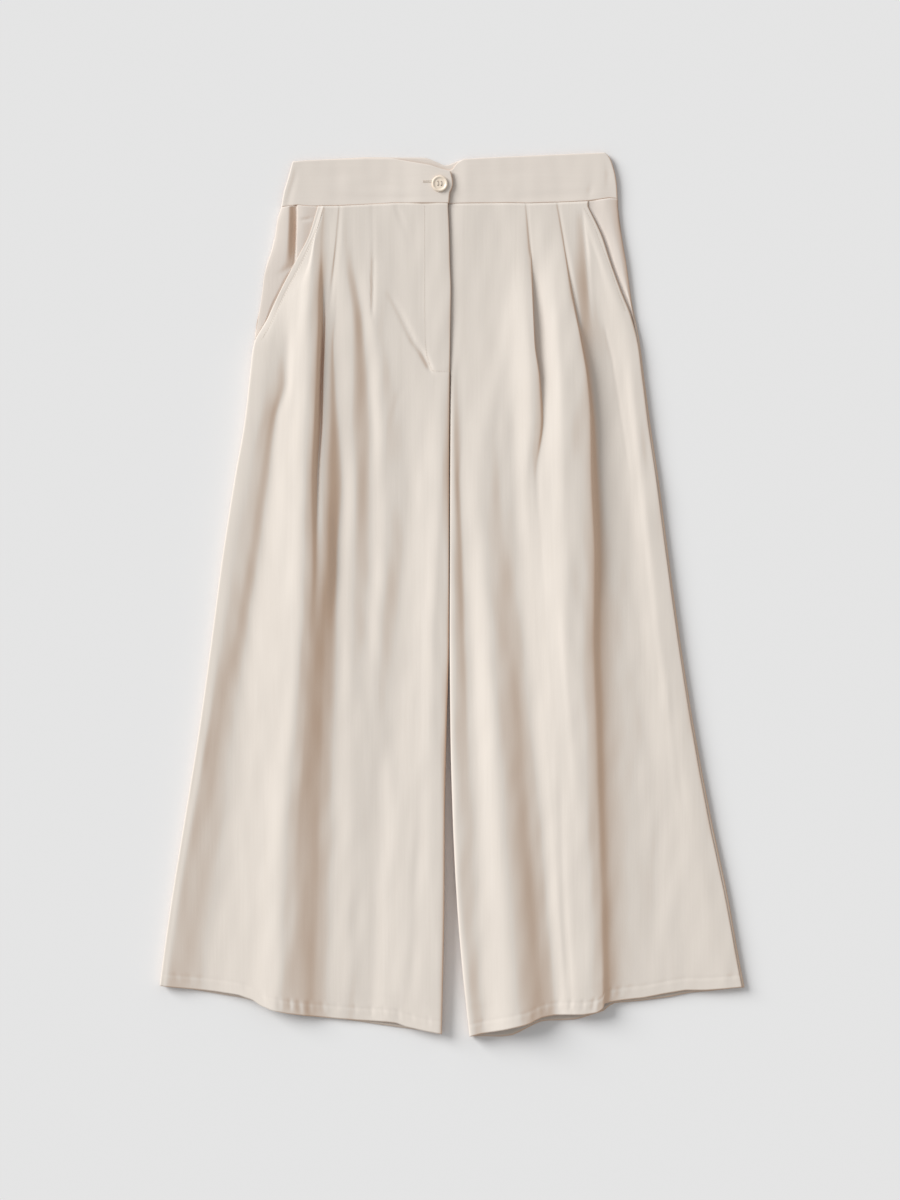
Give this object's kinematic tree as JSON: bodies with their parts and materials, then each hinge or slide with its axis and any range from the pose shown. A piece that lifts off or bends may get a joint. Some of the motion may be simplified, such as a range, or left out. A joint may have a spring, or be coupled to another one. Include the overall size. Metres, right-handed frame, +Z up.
{
  "type": "culottes",
  "caption": "Wide-leg crepe culottes laid flat on their back, with front pleats, slanted pockets and a buttoned tab waistband.",
  "frame": {"origin": "on the surface it lies on, below the middle of its bounding box", "axes": "+Y from the hems to the waist, +Z up through the layers, +X to the wearer's left leg"},
  "size_m": [0.6045, 0.9183, 0.0178],
  "materials": {
    "crepe": "light beige crepe with a soft sheen and fine lengthwise streaks",
    "crepe_facing": "the same crepe behind the pocket mouths",
    "button": "cream, satin",
    "zip_tape": "woven tape"
  },
  "bodies": {
    "root": {"front_right": "crepe", "front_left": "crepe", "back_right": "crepe", "back_left": "crepe", "waistband_front_right": "crepe", "waistband_front_left": "crepe", "waistband_back": "crepe", "pocket_facing_right": "crepe_facing", "pocket_facing_left": "crepe_facing", "fly_zip": "zip_tape", "button": "button"}
  },
  "joints": []
}
